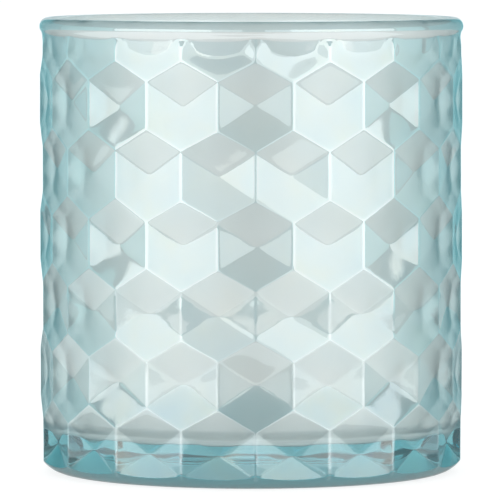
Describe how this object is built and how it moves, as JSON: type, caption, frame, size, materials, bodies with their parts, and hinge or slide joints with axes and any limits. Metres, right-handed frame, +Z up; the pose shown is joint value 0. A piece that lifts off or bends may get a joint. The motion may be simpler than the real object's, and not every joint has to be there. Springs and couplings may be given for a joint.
{
  "type": "pressed glass candle holder",
  "caption": "Straight round candle holder of tinted pressed glass, with a honeycomb relief round the outside, a plain rounded rim and a thick flat base.",
  "frame": {"origin": "middle of the flat ring that the holder stands on", "axes": "+Z up along the axis of the glass, out of its mouth; -Y is the front"},
  "size_m": [0.08, 0.08, 0.0858],
  "materials": {
    "aqua_glass": "clear pale aqua pressed glass with a faint pearl lustre on the outside"
  },
  "bodies": {
    "root": {"glass_vessel": "aqua_glass"}
  },
  "joints": []
}
